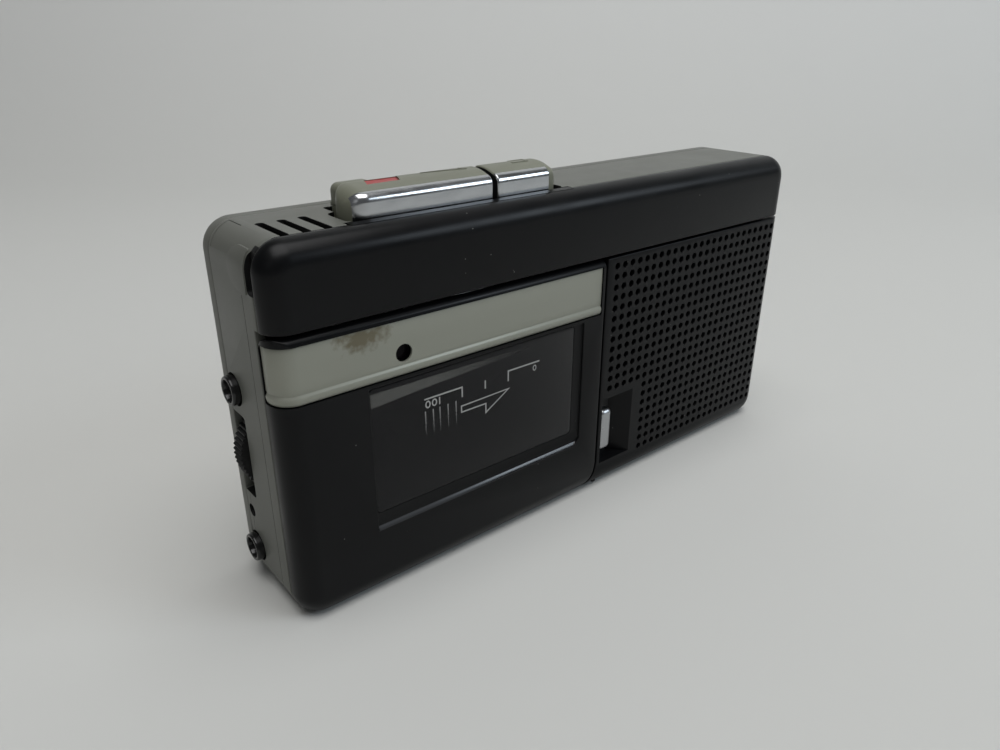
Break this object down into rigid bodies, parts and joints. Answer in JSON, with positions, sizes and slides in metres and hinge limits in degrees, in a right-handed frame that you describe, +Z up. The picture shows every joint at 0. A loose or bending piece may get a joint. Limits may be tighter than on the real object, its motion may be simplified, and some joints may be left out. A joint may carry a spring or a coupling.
{
  "type": "microcassette recorder",
  "caption": "Pocket microcassette recorder with a hinged lid and window, a perforated speaker panel, piano keys on top, an edge volume dial and jack sockets on one end.",
  "frame": {"origin": "middle of the long narrow side that it stands on, halfway through the case's depth", "axes": "+X along the length from the socket end to the speaker end, +Y from the front face to the back, +Z up to the keys"},
  "size_m": [0.1203, 0.0222, 0.0651],
  "materials": {
    "black_case": "satin black moulded plastic",
    "grey_case": "satin grey moulded plastic",
    "silver_trim": "satin silver",
    "smoked_window": "smoked clear plastic",
    "lamp_lens": "dark red lens",
    "key_metal": "plated, satin top",
    "dark_plastic": "matt black plastic",
    "white_plastic": "natural white plastic",
    "steel": "bright steel",
    "brass": "turned brass",
    "rubber": "black rubber",
    "felt": "black felt",
    "speaker_paper": "black paper cone",
    "circuit_board": "green board"
  },
  "bodies": {
    "case": {"front_cabinet": "black_case", "middle_frame": "grey_case", "rear_cover": "grey_case", "speaker_grille": "black_case", "dust_felt": "felt", "microphone_grommet": "rubber", "microphone_capsule": "steel", "upper_socket": "dark_plastic", "lower_socket": "dark_plastic", "volume_pot": "dark_plastic", "deck_plate": "steel", "cassette_well": "dark_plastic", "motor": "steel", "drive_belt": "rubber", "speaker_frame": "steel", "speaker_cone": "speaker_paper", "speaker_magnet": "steel", "battery_contact_plus": "steel", "battery_contact_minus": "steel", "battery_contact_link": "steel", "circuit_board": "circuit_board", "amplifier_chip": "dark_plastic", "capacitor": "dark_plastic", "case_screw_1": "steel", "case_screw_2": "steel", "case_screw_3": "steel", "case_screw_4": "steel"},
    "lid": {"cassette_lid": "black_case", "lid_strip": "silver_trim", "lid_window": "smoked_window", "lamp_lens": "lamp_lens", "lid_hinge_pin": "steel"},
    "release": {"release_slider": "silver_trim"},
    "play": {"play_key": "key_metal"},
    "stop": {"stop_key": "key_metal"},
    "record": {"record_button": "key_metal"},
    "heads": {"head_slide": "steel", "record_play_head": "steel", "erase_head": "steel"},
    "pinch": {"pinch_arm": "steel"},
    "roller": {"pinch_roller": "rubber"},
    "supply": {"supply_spindle": "white_plastic"},
    "takeup": {"takeup_spindle": "white_plastic"},
    "capstan": {"capstan_shaft": "steel", "flywheel": "brass"},
    "pulley": {"motor_pulley": "brass"},
    "dial": {"volume_dial": "dark_plastic"},
    "cell_cover": {"battery_cover": "grey_case"}
  },
  "joints": [
    {"name": "lid_hinge", "type": "hinge", "parent": "case", "child": "lid", "pos_m": [-0.0275, -0.00885, 0.0453], "axis": [-1, 0, 0], "range_deg": [0, 45]},
    {"name": "release_slide", "type": "slide", "parent": "case", "child": "release", "axis": [0, 0, 1], "range_m": [0, 0.0016], "stiffness_N_per_m": 100, "springref_m": -0.002},
    {"name": "play_press", "type": "slide", "parent": "case", "child": "play", "axis": [0, 0, -1], "range_m": [0, 0.0022], "stiffness_N_per_m": 400, "springref_m": -0.002},
    {"name": "stop_press", "type": "slide", "parent": "case", "child": "stop", "axis": [0, 0, -1], "range_m": [0, 0.0022], "stiffness_N_per_m": 400, "springref_m": -0.002},
    {"name": "record_press", "type": "slide", "parent": "case", "child": "record", "axis": [0, 0, -1], "range_m": [0, 0.002], "stiffness_N_per_m": 300, "springref_m": -0.002},
    {"name": "head_travel", "type": "slide", "parent": "case", "child": "heads", "axis": [0, 0, -1], "range_m": [0, 0.0022]},
    {"name": "pinch_pivot", "type": "hinge", "parent": "case", "child": "pinch", "pos_m": [-0.00355, 0, 0.0445], "axis": [0, -1, 0], "range_deg": [0, 15.6]},
    {"name": "roller_spin", "type": "hinge", "parent": "pinch", "child": "roller", "pos_m": [-0.01135, -0.004, 0.0437], "axis": [0, 1, 0], "continuous": true},
    {"name": "supply_spin", "type": "hinge", "parent": "case", "child": "supply", "pos_m": [-0.036, -0.001, 0.0225], "axis": [0, 1, 0], "continuous": true},
    {"name": "takeup_spin", "type": "hinge", "parent": "case", "child": "takeup", "pos_m": [-0.0105, -0.001, 0.0225], "axis": [0, 1, 0], "continuous": true},
    {"name": "capstan_spin", "type": "hinge", "parent": "case", "child": "capstan", "pos_m": [-0.01135, 0.001, 0.0376], "axis": [0, 1, 0], "continuous": true},
    {"name": "pulley_spin", "type": "hinge", "parent": "case", "child": "pulley", "pos_m": [-0.03025, 0.007, 0.0118], "axis": [0, 1, 0], "continuous": true},
    {"name": "dial_turn", "type": "hinge", "parent": "case", "child": "dial", "pos_m": [-0.0527, 0.00505, 0.0241], "axis": [0, 1, 0], "range_deg": [0, 300]},
    {"name": "cover_slide", "type": "slide", "parent": "case", "child": "cell_cover", "axis": [1, 0, 0], "range_m": [0, 0.054]}
  ],
  "couplings": [
    {"joint": "head_travel", "follows": "play_press", "ratio": 1},
    {"joint": "pinch_pivot", "follows": "play_press", "rad_per_m": 123},
    {"joint": "pulley_spin", "follows": "capstan_spin", "ratio": 5}
  ]
}
